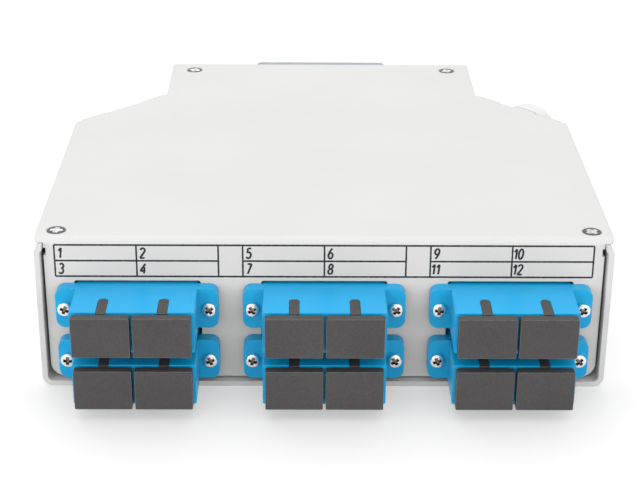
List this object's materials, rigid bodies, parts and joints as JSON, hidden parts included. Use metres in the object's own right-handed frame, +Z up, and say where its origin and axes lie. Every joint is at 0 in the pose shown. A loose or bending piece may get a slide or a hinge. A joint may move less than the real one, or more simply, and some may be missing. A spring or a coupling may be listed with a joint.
{
  "type": "din rail fibre box",
  "caption": "Flat folded-steel fibre splice box with a narrowed rear, blue duplex adapters under dust caps on its front panel, a splice cassette inside and a sprung rail clip on its back.",
  "frame": {"origin": "middle of the tray's underside, halfway between the tray's front edge and its rear wall", "axes": "+X to the right of someone who faces the ports, +Y from the front panel to the rail clip, +Z up from the underside to the cover"},
  "size_m": [0.123, 0.1387, 0.035],
  "materials": {
    "grey_steel": "fine light grey powder coat",
    "zinc_screw": "bright zinc plating",
    "blue_plastic": "smooth blue moulding",
    "white_plastic": "pale moulding",
    "zirconia": "white ceramic",
    "charcoal_plastic": "satin charcoal moulding",
    "zinc_clip": "bare zinc casting",
    "spring_steel": "bright spring wire",
    "pale_polyamide": "pale polyamide",
    "black_rubber": "soft black rubber",
    "cassette_grey": "grey moulding",
    "comb_grey": "dark grey moulding",
    "clear_lid": "clear plastic sheet"
  },
  "bodies": {
    "box": {"tray": "grey_steel", "cover": "grey_steel", "cover_screws": "zinc_screw", "adapter_1_front_housing": "blue_plastic", "adapter_1_rear_housing": "blue_plastic", "adapter_1_latch_holders": "white_plastic", "adapter_1_alignment_sleeves": "zirconia", "adapter_2_front_housing": "blue_plastic", "adapter_2_rear_housing": "blue_plastic", "adapter_2_latch_holders": "white_plastic", "adapter_2_alignment_sleeves": "zirconia", "adapter_3_front_housing": "blue_plastic", "adapter_3_rear_housing": "blue_plastic", "adapter_3_latch_holders": "white_plastic", "adapter_3_alignment_sleeves": "zirconia", "adapter_4_front_housing": "blue_plastic", "adapter_4_rear_housing": "blue_plastic", "adapter_4_latch_holders": "white_plastic", "adapter_4_alignment_sleeves": "zirconia", "adapter_5_front_housing": "blue_plastic", "adapter_5_rear_housing": "blue_plastic", "adapter_5_latch_holders": "white_plastic", "adapter_5_alignment_sleeves": "zirconia", "adapter_6_front_housing": "blue_plastic", "adapter_6_rear_housing": "blue_plastic", "adapter_6_latch_holders": "white_plastic", "adapter_6_alignment_sleeves": "zirconia", "adapter_screws": "zinc_screw", "adapter_nuts": "zinc_screw", "clip_plate": "zinc_clip", "clip_spring": "spring_steel", "clip_screws": "zinc_screw", "clip_nuts": "zinc_screw", "gland_body": "pale_polyamide", "gland_dome_nut": "pale_polyamide", "gland_locknut": "pale_polyamide", "gland_seal": "black_rubber", "cassette_base": "cassette_grey", "cassette_lid": "clear_lid", "splice_comb_left": "comb_grey", "splice_comb_right": "comb_grey", "cassette_screws": "zinc_screw", "cassette_standoffs": "zinc_screw"},
    "clip latch": {"clip_latch": "zinc_clip"},
    "dust cap 1": {"dust_cap_01": "charcoal_plastic"},
    "dust cap 2": {"dust_cap_02": "charcoal_plastic"},
    "dust cap 3": {"dust_cap_03": "charcoal_plastic"},
    "dust cap 4": {"dust_cap_04": "charcoal_plastic"},
    "dust cap 5": {"dust_cap_05": "charcoal_plastic"},
    "dust cap 6": {"dust_cap_06": "charcoal_plastic"},
    "dust cap 7": {"dust_cap_07": "charcoal_plastic"},
    "dust cap 8": {"dust_cap_08": "charcoal_plastic"},
    "dust cap 9": {"dust_cap_09": "charcoal_plastic"},
    "dust cap 10": {"dust_cap_10": "charcoal_plastic"},
    "dust cap 11": {"dust_cap_11": "charcoal_plastic"},
    "dust cap 12": {"dust_cap_12": "charcoal_plastic"}
  },
  "joints": [
    {"name": "clip_latch_slide", "type": "slide", "parent": "box", "child": "clip latch", "axis": [1, 0, 0], "range_m": [0, 0.0035], "stiffness_N_per_m": 1200, "springref_m": -0.0025, "deforming": ["clip_spring"]},
    {"name": "dust_cap_01_pull", "type": "slide", "parent": "box", "child": "dust cap 1", "axis": [0, -1, 0], "range_m": [0, 0.016]},
    {"name": "dust_cap_02_pull", "type": "slide", "parent": "box", "child": "dust cap 2", "axis": [0, -1, 0], "range_m": [0, 0.016]},
    {"name": "dust_cap_03_pull", "type": "slide", "parent": "box", "child": "dust cap 3", "axis": [0, -1, 0], "range_m": [0, 0.016]},
    {"name": "dust_cap_04_pull", "type": "slide", "parent": "box", "child": "dust cap 4", "axis": [0, -1, 0], "range_m": [0, 0.016]},
    {"name": "dust_cap_05_pull", "type": "slide", "parent": "box", "child": "dust cap 5", "axis": [0, -1, 0], "range_m": [0, 0.016]},
    {"name": "dust_cap_06_pull", "type": "slide", "parent": "box", "child": "dust cap 6", "axis": [0, -1, 0], "range_m": [0, 0.016]},
    {"name": "dust_cap_07_pull", "type": "slide", "parent": "box", "child": "dust cap 7", "axis": [0, -1, 0], "range_m": [0, 0.016]},
    {"name": "dust_cap_08_pull", "type": "slide", "parent": "box", "child": "dust cap 8", "axis": [0, -1, 0], "range_m": [0, 0.016]},
    {"name": "dust_cap_09_pull", "type": "slide", "parent": "box", "child": "dust cap 9", "axis": [0, -1, 0], "range_m": [0, 0.016]},
    {"name": "dust_cap_10_pull", "type": "slide", "parent": "box", "child": "dust cap 10", "axis": [0, -1, 0], "range_m": [0, 0.016]},
    {"name": "dust_cap_11_pull", "type": "slide", "parent": "box", "child": "dust cap 11", "axis": [0, -1, 0], "range_m": [0, 0.016]},
    {"name": "dust_cap_12_pull", "type": "slide", "parent": "box", "child": "dust cap 12", "axis": [0, -1, 0], "range_m": [0, 0.016]}
  ]
}
